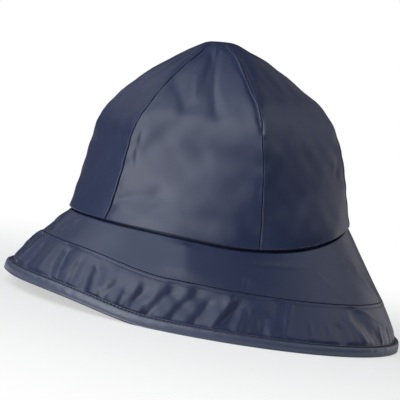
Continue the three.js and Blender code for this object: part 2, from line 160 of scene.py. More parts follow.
# How far the crown's folds stray sideways and along, and the small unevenness between them,
# which fades towards the tip
CROWN_STRAY = math.radians(2.2)
CROWN_SINK = 0.03
CROWN_FINE = 0.0005
FINE_FADE = (0.02, 0.07)
CROWN_FOLDS = (
    (54.5, 0.93, 64.6, 0.67, 6, 1.5, 1.7, 0.4, 0.0, 1.8),
    (34.0, 0.79, 48.0, 0.67, 6, 1.3, 1.3, 0.4, 0.35, 1.0),
    (45, 0.83, 51, 0.73, 4.0, 1.2, -0.5, 0.5, -0.3, 1.0),
    (65, 0.59, 72, 0.64, 2.5, 0.8, -0.15, 0.7, 0.0, 0),
    (31.6, 0.51, 31.8, 0.45, 3.0, 0.9, 0.3, 0.2, 0.2, 0),
    (31.4, 0.39, 33.8, 0.33, 3.0, 0.8, 0.32, 0.3, 0.2, 0),
    (31.2, 0.29, 32.6, 0.24, 2.8, 0.8, 0.22, 0.2, 0.2, 0),
    (29.5, 0.14, 46, 0.17, 5, 1.7, 1.3, 0.1, 0.0, 0),
    (46, 0.15, 68, 0.1, 9, 1.0, 0.5, 0.1, 0.0, 0),
    (74, 0.13, 88, 0.06, 11, 0.9, 0.9, 0.1, 0.0, 0),
    (71, 0.32, 76, 0.04, 13, 1.0, -0.9, 0.1, 0.0, 0),
    (88.5, 0.84, 89.5, 0.7, 3, 1.2, 0.6, 0.2, 0.0, 0),
    (90.2, 0.645, 90.3, 0.57, 2.6, 0.8, 1.0, 0.3, -0.35, 0),
    (91.6, 0.635, 91.6, 0.555, 2.1, 0.4, -1.7, 0.3, 0.0, 0),
    (88.5, 0.33, 88.0, 0.24, 4, 0.8, 0.2, 0.1, 0.0, 0),
    (63.5, 0.06, 63, 0.12, 2.5, 0.8, -0.12, 0.4, 0.0, 0),
    (70.5, 0.05, 70, 0.11, 2.5, 0.8, -0.12, 0.4, 0.0, 0),
    (94, 0.88, 92, 0.74, 2.5, 0.8, -0.5, 0.4, 0.0, 0),
    (100, 0.93, 96, 0.86, 5, 0.8, 0.5, 0.3, 0.0, 0),
    (113, 0.6, 113, 0.53, 8, 1.0, -0.4, 0.0, 0.0, 0),
    (113, 0.08, 119, 0.16, 9, 0.8, 0.3, 0.0, 0.0, 0),
    (147, 0.4, 143, 0.33, 4, 0.7, 0.4, 0.3, 0.0, 0),
    (2, 0.93, -3, 0.66, 7, 0.4, 0.5, 0.2, 0.0, 0),
    (-8, 0.14, 10, 0.19, 10, 0.8, 0.5, 0.1, 0.0, 0),
    (171, 0.92, 182, 0.63, 9, 0.35, 1.2, 0.5, -0.4, 1.5),
    (199, 0.85, 192, 0.68, 7, 0.4, 1.0, 0.4, -0.3, -1),
    (158, 0.12, 176, 0.18, 9, 0.8, 1.2, 0.3, 0.0, 0),
    (204, 0.5, 200, 0.42, 3, 0.7, 0.7, 0.3, 0.0, 0),
    (233, 0.93, 243, 0.6, 9, 0.35, 1.2, 0.5, -0.4, 1.5),
    (262, 0.82, 255, 0.66, 7, 0.4, 1.0, 0.4, -0.3, -1),
    (214, 0.15, 232, 0.11, 9, 0.8, 1.2, 0.3, 0.0, 0),
    (265, 0.46, 260, 0.37, 3, 0.7, 0.7, 0.3, 0.0, 0),
    (300, 0.92, 291, 0.61, 9, 0.35, 1.2, 0.5, -0.4, -1.5),
    (322, 0.84, 314, 0.68, 7, 0.4, 0.8, 0.4, -0.3, -1),
    (278, 0.13, 300, 0.17, 9, 0.8, 1.1, 0.3, 0.0, 0),
    (327, 0.42, 322, 0.35, 3, 0.7, 0.7, 0.3, 0.0, 0),
)


def through(table, share):
    """A smooth curve through the rows of a table, at shares from 0 to 1 of its rows."""
    rows = np.asarray(table, float)
    rows = np.vstack([2 * rows[0] - rows[1], rows, 2 * rows[-1] - rows[-2]])
    place = np.clip(share, 0, 1) * (len(table) - 1)
    first = np.minimum(place.astype(int), len(table) - 2)
    t = (place - first)[..., None]
    before, here, there, after = (rows[first + k] for k in range(4))
    slope_here = (there - before) / 2
    slope_there = (after - here) / 2
    return (
        here * (2 * t**3 - 3 * t**2 + 1)
        + slope_here * (t**3 - 2 * t**2 + t)
        + there * (3 * t**2 - 2 * t**3)
        + slope_there * (t**3 - t**2)
    )


def smooth(value, low, high):
    """0 below low, 1 above high and an even rise between."""
    t = np.clip((value - low) / (high - low), 0, 1)
    return t * t * (3 - 2 * t)


def oval(half_breadth, half_length, turn):
    """Points of an oval, from the front round to the wearer's left."""
    x = half_breadth * np.sin(turn)
    return np.stack([x, -half_length * np.cos(turn) + 0 * x, 0 * x], -1)


def unit(vectors):
    return vectors / np.linalg.norm(vectors, axis=-1, keepdims=True)


def seam_height(turn):
    """The crown's bottom seam dips over the ears and is highest at the back."""
    temple = np.exp(-(((np.abs(np.cos(turn)) - TEMPLE_AT) / TEMPLE_SPREAD) ** 2))
    temple = temple * (np.cos(turn) > 0)
    return SEAM_DIP * np.cos(2 * turn) - BACK_RISE * np.cos(3 * turn) + TEMPLE_RISE * temple


def seam_turn(turn, rise):
    """The two seams beside the front panel draw together a little towards the foot."""
    sway = BROW_SWAY * np.clip(1 - rise / BROW_SWAY_TOP, 0, 1) ** 2
    in_front = math.cos(turn) > 0.5
    return turn - sway * np.sin(turn) / math.sin(math.radians(BROW_SEAM)) * in_front


def fold_height(folds, turn, share, radius, height):
    """How far the folds move the cloth out: soft ones as a dish, crisp ones as a crease."""
    total = np.zeros(np.broadcast(turn, share).shape)
    for start, low, end, high, wide, narrow, deep, crisp, lean, bow in folds:
        off = turn - math.radians(start)
        across = radius * np.arctan2(np.sin(off), np.cos(off))
        along = height * (share - low)
        run_across = radius * math.radians(end - start)
        run_along = height * (high - low)
        reach = run_across**2 + run_along**2
        part = np.clip((across * run_across + along * run_along) / reach, 0, 1)
        across = across - bow * FOLD_UNIT * 4 * part * (1 - part)
        gap = np.hypot(across - part * run_across, along - part * run_along)
        beside = (across * run_along - along * run_across) * np.sign(high - low)
        side = beside / (np.sqrt(reach) * gap + 1e-9)
        taper = wide * FOLD_UNIT * (1 + (narrow - 1) * part) * (1 + lean * side)
        away = gap / taper
        soft = (1 - 0.3 * away**2) * np.exp(-(away**2))
        sharp = (1 - 0.5 * away) * np.exp(-1.3 * (np.sqrt(away**2 + 0.03) - 0.17))
        sharp *= np.exp(-((away / 2) ** 4))
        depth = deep * FOLD_UNIT * taper / (max(1, narrow) * wide * FOLD_UNIT * (1 + lean * side))
        total -= depth * (soft * (1 - crisp) + sharp * crisp)
    return total


def drift(turn, share, seed, fewest=2, most=10, waves=7):
    """An unevenness between -1 and 1, with so many waves on the way round the hat."""
    chance = np.random.RandomState(seed)
    total = np.zeros(np.broadcast(turn, share).shape)
    for _ in range(waves):
        rounds = chance.randint(fewest, most + 1)
        climbs = chance.uniform(-9, 9)
        total += np.sin(rounds * turn + climbs * share + chance.uniform(0, 2 * math.pi))
    return total / waves


def bell(turn, rise):
    """The crown as a smooth bell in its own frame, before its panels are drawn straight."""
    up, length, breadth, back, _ = np.moveaxis(through(CROWN_SECTIONS, rise), -1, 0)
    points = oval(breadth * HEAD_BREADTH / 2, length * HEAD_LENGTH / 2, turn)
    points[..., 1] += back * HEAD_LENGTH
    points[..., 2] += up * CROWN_HEIGHT + seam_height(turn) * np.maximum(0, 1 - up) ** 2
    return points


def bell_outward(turn, rise):
    step = 0.001
    held = np.clip(rise, step, 1 - step)
    around = bell(turn + step, held) - bell(turn - step, held)
    upward = bell(turn, held + step) - bell(turn, held - step)
    return unit(np.cross(around, upward))


def on_floor(points):
    """Points of the crown's own frame, in the frame of the floor."""
    c, s = math.cos(CROWN_TILT), math.sin(CROWN_TILT)
    x, y, z = np.moveaxis(points, -1, 0)
    return np.stack([x, y * c - z * s + CROWN_BACK, y * s + z * c + CROWN_STAND], -1)


def edge_roll(distance, roll):
    """How far cloth lies below its face at a distance from a seam that it rolls into."""
    inside = np.clip(roll - distance, 0, roll)
    return roll - np.sqrt(roll**2 - inside**2)


def panel_points(first, last, first_ridge, last_ridge):
    """A grid of points over one panel, from its curled foot to the tip of the crown."""
    rise = np.linspace(FOOT_RISE, 1, PANEL_ROWS)[:, None]
    up, length, breadth, _, flat = np.moveaxis(through(CROWN_SECTIONS, rise), -1, 0)
    first, last = seam_turn(first, rise), seam_turn(last, rise)
    radius = (length * HEAD_LENGTH + breadth * HEAD_BREADTH) / 4
    width = radius * (last - first)
    share = (0.5 - 0.5 * np.cos(np.linspace(0, math.pi, PANEL_COLUMNS)))[None, :]
    start = np.minimum(SEAM_GAP * first_ridge[2] / width, GAP_SHARE)
    end = np.minimum(SEAM_GAP * last_ridge[2] / width, GAP_SHARE)
    share = start + (1 - start - end) * share
    turn = first + (last - first) * share
    rise = rise + 0 * share
    straight = (1 - share[..., None]) * bell(first + 0 * turn, rise)
    straight = straight + share[..., None] * bell(last + 0 * turn, rise)
    points = bell(turn, rise)
    points += flat[..., None] * (straight - points)
    near_tip = smooth(radius, *TIP_FADE)
    lift = drift(turn, up, 3) * CROWN_DRIFT * near_tip
    for to_seam, ridge, seed in (
        (width * share, first_ridge, 11),
        (width * (1 - share), last_ridge, 12),
    ):
        low, tip, gape = ridge
        roll = np.minimum(SEAM_ROLL, width / 6)
        lift -= edge_roll(to_seam - SEAM_GAP * gape, roll)
        lift -= SEAM_SINK * np.exp(-((to_seam / SEAM_SOFT) ** 2)) * near_tip
        high = low * (1 - smooth(up, *RIDGE_FADE)) + tip * smooth(up, *RIDGE_RISE)
        lift += high * np.exp(-(((to_seam - RIDGE_OFF) / RIDGE_WIDE) ** 2)) * near_tip
        uneven = drift(first + 0 * up, up * 2, seed)
        wave = np.sin(CROWN_HEIGHT * up * WAVE_PITCH + 3 * uneven)
        lift += WAVE_HIGH * wave * np.exp(-((to_seam / WAVE_REACH) ** 2)) * near_tip
    stray = drift(turn, up * 2, 5, 10, 34, 9) * CROWN_STRAY
    sink = drift(turn, up * 2, 6, 8, 30, 9) * CROWN_SINK
    lift += fold_height(CROWN_FOLDS, turn + stray, up + sink, radius, CROWN_HEIGHT) * near_tip
    lift += drift(turn, up * 5, 7, 6, 30, 16) * CROWN_FINE * smooth(radius, *FINE_FADE)
    outward = bell_outward(turn, rise)
    points += lift[..., None] * outward
    deep = np.minimum(SEAM_DEEP, width / 4)[..., None]
    sides = []
    for edge, at in ((0, first), (-1, last)):
        lifted = lift[:, edge, None] * outward[:, edge]
        to_seam = bell(at, rise[:, :1])[:, 0] + lifted - points[:, edge]
        parts = []
        for part, near in SEAM_STEPS:
            parts.append(points[:, edge] + near * to_seam - outward[:, edge] * deep[:, 0] * part)
        sides.append(parts)
    points = np.stack([*reversed(sides[0]), *np.moveaxis(points, 1, 0), *sides[1]], 1)
    outward = np.concatenate([outward[:, :1]] * 3 + [outward] + [outward[:, -1:]] * 3, 1)
    curl = np.radians(np.linspace(FOOT_TURN, 0, FOOT_ROWS, endpoint=False))[:, None, None]
    foot, out, above = points[0], outward[0], unit(points[1] - points[0])
    hem = foot + FOOT_CURL * (out * (np.cos(curl) - 1) - above * np.sin(curl))
    return on_floor(np.concatenate([hem, points]))


def cloth_mesh(name, grid, ring):
    """A mesh over a grid of points, rows upwards and columns round to the wearer's left."""
    rows, columns = grid.shape[:2]
    spans = columns if ring else columns - 1
    r, c = np.meshgrid(np.arange(rows - 1), np.arange(spans), indexing="ij")
    here, beside = r * columns + c, r * columns + (c + 1) % columns
    faces = np.stack([here, beside, beside + columns, here + columns], -1).reshape(-1, 4)
    mesh = bpy.data.meshes.new(name)
    mesh.from_pydata(grid.reshape(-1, 3).tolist(), [], faces.tolist())
    mesh.polygons.foreach_set("use_smooth", np.ones(len(faces), bool))
    piece = bpy.data.objects.new(name, mesh)
    bpy.context.scene.collection.objects.link(piece)
    return piece


def thicken(piece, thickness):
    """Gives the cloth its back, with the second material on the inside."""
    solid = piece.modifiers.new("thickness", "SOLIDIFY")
    solid.thickness = thickness
    solid.offset = -1
    solid.material_offset = 1


def node_group(name, inputs, outputs):
    """An empty shader group with named sockets, and its input and output nodes."""
    group = bpy.data.node_groups.new(name, "ShaderNodeTree")
    for title, kind, value in inputs:
        socket = group.interface.new_socket(title, in_out="INPUT", socket_type=kind)
        socket.default_value = value
    for title, kind in outputs:
        group.interface.new_socket(title, in_out="OUTPUT", socket_type=kind)
    return group, group.nodes.new("NodeGroupInput"), group.nodes.new("NodeGroupOutput")


def add_noise(tree, scale, detail, rough=0.5):
    noise = tree.nodes.new("ShaderNodeTexNoise")
    noise.inputs["Scale"].default_value = scale
    noise.inputs["Detail"].default_value = detail
    noise.inputs["Roughness"].default_value = rough
    return noise


def add_math(tree, operation, first, second):
    """A math node whose inputs are sockets or plain numbers."""
    node = tree.nodes.new("ShaderNodeMath")
    node.operation = operation
    for socket, value in zip(node.inputs, (first, second)):
        if isinstance(value, (int, float)):
            socket.default_value = value
        else:
            tree.links.new(value, socket)
    return node.outputs[0]


def make_coating_group():
    """The coated face: a faint leathery grain, soft handling marks and an uneven gloss."""
    inputs = (
        ("Grain Scale", "NodeSocketFloat", 1400.0),
        ("Mark Scale", "NodeSocketFloat", 55.0),
        ("Gloss Low", "NodeSocketFloat", 0.32),
        ("Gloss High", "NodeSocketFloat", 0.46),
    )
    outputs = (
        ("Height", "NodeSocketFloat"),
        ("Roughness", "NodeSocketFloat"),
        ("Shade", "NodeSocketFloat"),
    )
    group, entry, exit_ = node_group("coated_face", inputs, outputs)
    place = group.nodes.new("ShaderNodeTexCoord")
    grain = add_noise(group, 1400.0, 2.0)
    marks = add_noise(group, 55.0, 3.0, 0.55)
    blotch = add_noise(group, 16.0, 2.0)
    for noise in (grain, marks, blotch):
        group.links.new(place.outputs["Object"], noise.inputs["Vector"])
    group.links.new(entry.outputs["Grain Scale"], grain.inputs["Scale"])
    group.links.new(entry.outputs["Mark Scale"], marks.inputs["Scale"])
    fine = add_math(group, "MULTIPLY", grain.outputs["Fac"], 0.25)
    height = add_math(group, "ADD", fine, marks.outputs["Fac"])
    group.links.new(height, exit_.inputs["Height"])
    gloss = group.nodes.new("ShaderNodeMapRange")
    gloss.inputs["From Min"].default_value = 0.3
    gloss.inputs["From Max"].default_value = 0.7
    group.links.new(blotch.outputs["Fac"], gloss.inputs["Value"])
    group.links.new(entry.outputs["Gloss Low"], gloss.inputs["To Min"])
    group.links.new(entry.outputs["Gloss High"], gloss.inputs["To Max"])
    group.links.new(gloss.outputs["Result"], exit_.inputs["Roughness"])
    group.links.new(marks.outputs["Fac"], exit_.inputs["Shade"])
    return group


coating = make_coating_group()


def coated_cloth(name, deep, pale, bump, gloss=(0.27, 0.39)):
    """Coated cloth between two shades of one colour and two roughnesses."""
    material = bpy.data.materials.new(name)
    material.use_nodes = True
    tree = material.node_tree
    surface = tree.nodes["Principled BSDF"]
    face = tree.nodes.new("ShaderNodeGroup")
    face.node_tree = coating
    face.inputs["Gloss Low"].default_value = gloss[0]
    face.inputs["Gloss High"].default_value = gloss[1]
    shades = tree.nodes.new("ShaderNodeMix")
    shades.data_type = "RGBA"
    shades.inputs["A"].default_value = (*deep, 1)
    shades.inputs["B"].default_value = (*pale, 1)
    tree.links.new(face.outputs["Shade"], shades.inputs["Factor"])
    tree.links.new(shades.outputs["Result"], surface.inputs["Base Color"])
    tree.links.new(face.outputs["Roughness"], surface.inputs["Roughness"])
    relief = tree.nodes.new("ShaderNodeBump")
    relief.inputs["Strength"].default_value = bump
    relief.inputs["Distance"].default_value = 0.0004
    tree.links.new(face.outputs["Height"], relief.inputs["Height"])
    tree.links.new(relief.outputs["Normal"], surface.inputs["Normal"])
    surface.inputs["Specular IOR Level"].default_value = 0.5
    return material


def make_backing():
    """The knitted back of the cloth: fine ribs, dull, with a little sheen."""
    material = bpy.data.materials.new("knitted_backing")
    material.use_nodes = True
    tree = material.node_tree
    surface = tree.nodes["Principled BSDF"]
    place = tree.nodes.new("ShaderNodeTexCoord")
    ribs = tree.nodes.new("ShaderNodeTexWave")
    ribs.inputs["Scale"].default_value = 260.0
    ribs.inputs["Distortion"].default_value = 1.5
    loops = add_noise(tree, 900.0, 2.0)
    for texture in (ribs, loops):
        tree.links.new(place.outputs["Object"], texture.inputs["Vector"])
    height = add_math(tree, "ADD", ribs.outputs["Fac"], loops.outputs["Fac"])
    shades = tree.nodes.new("ShaderNodeMix")
    shades.data_type = "RGBA"
    shades.inputs["A"].default_value = (0.016, 0.019, 0.032, 1)
    shades.inputs["B"].default_value = (0.045, 0.051, 0.075, 1)
    tree.links.new(ribs.outputs["Fac"], shades.inputs["Factor"])
    tree.links.new(shades.outputs["Result"], surface.inputs["Base Color"])
    relief = tree.nodes.new("ShaderNodeBump")
    relief.inputs["Strength"].default_value = 0.5
    relief.inputs["Distance"].default_value = 0.0003
    tree.links.new(height, relief.inputs["Height"])
    tree.links.new(relief.outputs["Normal"], surface.inputs["Normal"])
    surface.inputs["Roughness"].default_value = 0.9
    surface.inputs["Sheen Weight"].default_value = 0.3
    return material


crown_cloth = coated_cloth("crown_cloth", (0.019, 0.026, 0.066), (0.025, 0.033, 0.080), 0.35)
backing = make_backing()

for panel, start, end, start_ridge, end_ridge in PANELS:
    gore = cloth_mesh(
        panel + "_cloth",
        panel_points(math.radians(start), math.radians(end), start_ridge, end_ridge),
        False,
    )
    gore.data.materials.append(crown_cloth)
    gore.data.materials.append(backing)
    thicken(gore, CLOTH)
    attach(gore, "root")
    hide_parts(panel)

# Upper brim band. A ring of the same cloth, sewn under the crown's foot and sloping down to
# the second band. It is narrow over the brow and wide at the nape.
FRONT_REACH = 0.0364
SIDE_REACH = 0.0372
BACK_REACH = 0.0519
VISOR_LIFT = 0.009
VISOR_TURN = math.radians(57)
BAND_WIDTH = 0.0374
BRIM_BOW = 0.0011
BACK_BOW = 0.0034
ROOT_INSET = 0.0024
ROOT_DROP = 0.0008
ROOT_ROLL = 0.0007
ROOT_SLOT = 0.0026
BRIM_COLUMNS = 800
UPPER_ROWS = 44
# The band's edges: an allowance up inside the crown, and a roll into the seam below, where the
# two allowances go on inwards
ALLOWANCE = 0.005
ALLOWANCE_ROWS = 4
BAND_GAP = 0.00012
BAND_ROLL = 0.00035
BAND_DEEP = 0.0018
UPPER_FOLDS = (
    (-34, 0.14, -4, 0.75, 4, 0.8, -0.8, 0.5, 0.0, 0),
    (-12, 0.5, -6, 1.0, 5, 1.2, 0.9, 0.4, 0.0, 0),
    (3, 0.45, 5, 1.0, 3, 1.3, -0.8, 0.6, 0.0, 0),
    (9, 0.3, 12, 1.0, 6, 1.0, 0.7, 0.3, 0.0, 0),
    (61.0, 0.05, 63.2, 1.0, 16, 1.0, -1.5, 0.45, 0.0, 0),
    (83.3, 0.7, 82.4, 1.0, 2.6, 1.5, 0.7, 0.2, 0.2, 0),
    (88, 0.28, 134, 0.33, 2.0, 1.0, 0.25, 0.3, 0.0, 0),
    (114, 0.5, 123.5, 0.95, 4, 1.3, -0.5, 0.5, 0.2, 0),
    (139, 0.5, 149, 1.0, 6, 1.0, -0.8, 0.4, 0.0, 0),
    (160, 0.4, 158, 1.0, 7, 1.0, 1.0, 0.3, 0.0, 0),
    (190, 0.3, 196, 0.95, 7, 1.0, -1.0, 0.5, 0.0, 1),
    (214, 0.35, 209, 0.95, 7, 1.0, 0.9, 0.3, 0.0, 0),
    (246, 0.45, 240, 1.0, 6, 1.0, -1.0, 0.6, 0.0, -1),
    (270, 0.5, 268, 1.0, 5, 1.4, 1.1, 0.3, 0.0, 0),
    (300, 0.4, 309, 1.0, 6, 1.0, 0.8, 0.3, 0.0, 0),
)
# The folds fade towards the root and are held back at the seam below
ROOT_FADE = 0.006
SEAM_FADE = 0.009
SEAM_HOLD = 0.2
# A slow unevenness of both bands
BAND_DRIFT = 0.0003

edge_half_length = (HEAD_LENGTH * math.cos(CROWN_TILT) + FRONT_REACH + BACK_REACH) / 2
edge_half_breadth = HEAD_BREADTH / 2 + SIDE_REACH
brim_turn = np.linspace(0, 2 * math.pi, BRIM_COLUMNS, endpoint=False)


def brim_lines(turn):
    """The brim's root, seam and edge, the level way out, and the way out of the cloth."""
    root = oval(HEAD_BREADTH / 2 - ROOT_INSET, HEAD_LENGTH / 2 - ROOT_INSET, turn)
    root[..., 2] = seam_height(turn) - ROOT_DROP
    root = on_floor(root)
    edge = oval(edge_half_breadth, edge_half_length, turn)
    edge[..., 2] = VISOR_LIFT * smooth(np.cos(turn), math.cos(VISOR_TURN), 1)
    level = unit(oval(edge_half_length, edge_half_breadth, turn))
    down = unit(edge - root)
    outward = unit(level - down * np.sum(level * down, -1, keepdims=True))
    bow = BRIM_BOW + (BACK_BOW - BRIM_BOW) * np.maximum(0, -np.cos(turn)) ** 2
    seam = edge - down * BAND_WIDTH + outward * bow[..., None]
    return root, seam, edge, level, outward


def upper_points():
    root, seam, _, level, outward = brim_lines(brim_turn)
    share = (0.5 - 0.5 * np.cos(np.linspace(math.pi, 0, UPPER_ROWS)))[:, None]
    width = np.linalg.norm(seam - root, axis=-1)[None, :]
    share = share * (1 - BAND_GAP / width)
    radius = (edge_half_breadth + edge_half_length) / 2 - BAND_WIDTH / 2
    turn = brim_turn[None, :]
    lift = fold_height(UPPER_FOLDS, turn, share, radius, width)
    lift += drift(turn, share, 21) * BAND_DRIFT
    lift *= smooth(share * width, 0, ROOT_FADE)
    lift *= SEAM_HOLD + (1 - SEAM_HOLD) * smooth((1 - share) * width, 0, SEAM_FADE)
    lift -= edge_roll((1 - share) * width - BAND_GAP, BAND_ROLL)
    lift -= edge_roll(share * width, ROOT_ROLL)
    points = root + share[..., None] * (seam - root) + lift[..., None] * outward
    turned_in = [seam - outward * BAND_DEEP, points[0] - outward * BAND_DEEP / 2]
    slot = points[-1] - level * ROOT_SLOT
    climb = np.linspace(0, 1, ALLOWANCE_ROWS)[:, None, None] * ALLOWANCE
    allowance = slot + climb * np.array([0, -math.sin(CROWN_TILT), math.cos(CROWN_TILT)])
    return np.concatenate([np.stack(turned_in), points, allowance])


brim_cloth = coated_cloth("brim_cloth", (0.019, 0.026, 0.066), (0.025, 0.033, 0.080), 0.35)
upper_band = cloth_mesh("brim_upper_cloth", upper_points(), True)
upper_band.data.materials.append(brim_cloth)
upper_band.data.materials.append(backing)
thicken(upper_band, CLOTH)
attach(upper_band, "root")
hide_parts("brim_upper_band")

# Lower brim band. A ring of one width all round, of the same cloth, drawn into puckers by the
# stitches of the binding.
LOWER_ROWS = 60
BAND_BULGE = 0.001
BINDING_WIDTH = 0.008
# The puckers fade towards the seam above and die away just under the binding's lip
PUCKER_START = 0.003
PUCKER_FADE = 0.0028
LIP_TUCK = 0.0005
# How far the rows crowd towards the edge, and the share of the binding that the band fills
ROW_CROWD = 0.35
BAND_TONGUE = 0.85
# How far the puckers stray sideways and along, how much their height varies, and the small
# unevenness between them
PUCKER_STRAY = math.radians(0.35)
PUCKER_SINK = 0.04
PUCKER_VARY = 0.4
PUCKER_FINE = 0.0004
# A row of stitches holds the seam's allowance flat, in a shallow channel below the seam
TOPSTITCH_OFF = 0.0027
CHANNEL_DEEP = 0.00022
CHANNEL_WIDE = 0.0005
LOWER_FOLDS = (
    (-28, 0.6, -19, 0.1, 5.8, 0.9, -1.17, 0.6, 0, 0),
    (-14, 0.8, -11, 0.2, 11.3, 0.9, 2.02, 0.25, 0, 0),
    (-3, 0.8, -3, 0.15, 4.6, 0.9, -1.17, 0.6, 0, 0),
    (4, 0.3, 5, 0.8, 7.5, 0.9, 1.34, 0.25, 0, 0),
    (11.5, 0.1, 13, 0.75, 5.8, 0.9, -0.63, 0.5, 0, 0),
    (18, 0.21, 22, 0.75, 8.1, 1.1, 2.7, 0.2, 0.5, -0.8),
    (26.5, 0.3, 27.8, 0.8, 6.5, 1.1, 1.82, 0.3, 0.5, 0),
    (31, 0.32, 31.5, 0.62, 6.5, 1.1, 0.9, 0.2, 0.4, -0.5),
    (32.6, 0.16, 36.5, 0.36, 7, 1, 0.4, 0.2, 0, 0.6),
    (34, 0.3, 36, 0.8, 6.5, 1.3, 2.7, 0.2, 0.5, -0.8),
    (38.4, 0.66, 38.8, 0.82, 4.3, 1, 1.2, 0.2, 0.4, 0),
    (42.3, 0.42, 40.2, 0.82, 8, 1, 2.47, 0.3, 0.5, -1),
    (46, 0.48, 45.4, 0.82, 6.5, 1, 2.21, 0.3, 0.5, -0.4),
    (47.3, 0.66, 47.6, 0.82, 4.1, 1, 1.05, 0.2, 0.4, 0),
    (50.9, 0.37, 49.3, 0.72, 8.1, 1, 3.26, 0.2, 0.5, -1.1),
    (53, 0.62, 52.6, 0.78, 4.3, 1, 1.2, 0.2, 0.4, 0),
    (59, 0.28, 54, 0.78, 9.3, 1, 3.12, 0.3, 0.55, -1.8),
    (66.4, 0.25, 60.6, 0.8, 9.4, 1.05, 2.94, 0.25, 0.55, -1.6),
    (66.6, 0.18, 70, 0.2, 5.4, 1, 0.6, 0.25, 0.4, 0),
    (71.5, 0.3, 66.8, 0.8, 8.1, 1.1, 2.86, 0.35, 0.5, -0.8),
    (77.9, 0.2, 72, 0.8, 3.2, 1, -1.03, 0.3, 0, -0.6),
    (79.8, 0.27, 73.6, 0.78, 8.3, 1, 2.34, 0.25, 0.55, -0.6),
    (82.8, 0.43, 80.9, 0.78, 5.4, 1.1, 1.17, 0.25, 0.5, -0.3),
    (85.5, 0.4, 83.2, 0.76, 5.9, 1.1, 1.34, 0.25, 0.5, -0.3),
    (87.8, 0.46, 86.3, 0.8, 5.9, 1, 1.68, 0.25, 0, 0),
    (93.5, 0.1, 91.5, 0.4, 7.5, 1, 1.12, 0.2, 0, 0),
    (97.5, 0.1, 93.4, 0.74, 2.8, 1, -0.86, 0.3, 0, -0.2),
    (102.6, 0.45, 101.7, 0.78, 2.1, 1, -0.43, 0.3, 0, 0),
    (108.9, 0.5, 107.7, 0.78, 2.1, 1, -0.43, 0.3, 0, 0),
    (114, 0.5, 113.4, 0.8, 4.9, 1, 0.78, 0.25, 0, 0),
    (118.4, 0.28, 125, 0.74, 3.4, 1, -0.56, 0.4, 0, 0.6),
    (124, 0.2, 131, 0.62, 7.5, 1, 1.21, 0.25, 0, 0),
    (125.5, 0.03, 141, 0.42, 3, 1, -0.5, 0.5, 0, 0),
    (135.9, 0.46, 134.3, 0.8, 2.1, 1, -0.69, 0.3, 0, 0),
    (142.7, 0.5, 143.1, 0.8, 2.1, 1, -0.77, 0.3, 0, 0),
    (151, 0.22, 148, 0.76, 7.8, 1, 2.34, 0.25, 0.5, -1),
    (158, 0.38, 157, 0.78, 5.9, 1, 1.57, 0.25, 0.5, 0),
    (165, 0.24, 162.5, 0.78, 3.2, 1, -0.77, 0.3, 0, -0.6),
    (172, 0.18, 175, 0.76, 8.3, 1, 2.55, 0.25, -0.3, 1.1),
    (184, 0.36, 183, 0.78, 5.4, 1, 1.37, 0.25, 0.4, 0),
    (191, 0.2, 194.5, 0.76, 8.3, 1, 2.55, 0.25, 0.5, 1.3),
    (203, 0.42, 202, 0.8, 4.9, 1, 1.17, 0.25, 0, 0),
    (214, 0.2, 209, 0.78, 11.6, 1, 3.38, 0.25, 0.5, -1.6),
    (218, 0.3, 214, 0.78, 3, 1, -0.86, 0.3, 0, -0.6),
    (224, 0.44, 223, 0.8, 5.4, 1, 1.37, 0.25, 0.4, 0),
    (233, 0.24, 237, 0.76, 7.8, 1, 2.55, 0.25, -0.3, 1.1),
    (246, 0.34, 245, 0.78, 5.4, 1, 1.57, 0.25, 0, 0),
    (256, 0.22, 259, 0.76, 7.8, 1, 2.34, 0.25, -0.2, 1),
    (266.5, 0.16, 265, 0.78, 9.4, 1, 2.78, 0.25, 0.4, -1.1),
    (275, 0.3, 278, 0.78, 5.4, 1, 1.78, 0.25, 0, 0),
    (289, 0.32, 291.5, 0.78, 6.4, 1, 1.98, 0.25, 0.4, 0.6),
    (300, 0.2, 303, 0.76, 8.3, 1, 2.55, 0.25, 0.4, 1),
    (312, 0.34, 312, 0.78, 5.4, 1, 1.57, 0.25, 0, 0),
    (321, 0.24, 324, 0.76, 7.4, 1, 2.15, 0.25, 0, 0.8),
)


def lower_face(turn, share):
    """Points of the lower band's face, for columns of turn and rows of share."""
    _, seam, edge, _, outward = brim_lines(turn)
    radius = (edge_half_breadth + edge_half_length) / 2
    to_lip = (1 - share) * BAND_WIDTH - BINDING_WIDTH
    stray = drift(turn[None, :], share * 1.5, 32, 30, 70, 9) * PUCKER_STRAY
    sink = drift(turn[None, :], share * 1.5, 33, 20, 60, 9) * PUCKER_SINK
    lift = fold_height(LOWER_FOLDS, turn[None, :] + stray, share + sink, radius, BAND_WIDTH)
    lift *= 1 + PUCKER_VARY * drift(turn[None, :], share * 2, 34, 15, 50, 9)
    lift += drift(turn[None, :], share, 31) * BAND_DRIFT
    lift += drift(turn[None, :], share, 35, 40, 110, 15) * PUCKER_FINE * smooth(share, 0.2, 0.6)
    lift *= smooth(share * BAND_WIDTH, 0, PUCKER_START)
    lift += BAND_BULGE * 4 * share * (1 - share)
    lift -= CHANNEL_DEEP * np.exp(-(((share * BAND_WIDTH - TOPSTITCH_OFF) / CHANNEL_WIDE) ** 2))
    lift *= smooth(to_lip, -LIP_TUCK, PUCKER_FADE)
    lift -= edge_roll(share * BAND_WIDTH - BAND_GAP, BAND_ROLL)
    return seam + share[..., None] * (edge - seam) + lift[..., None] * outward


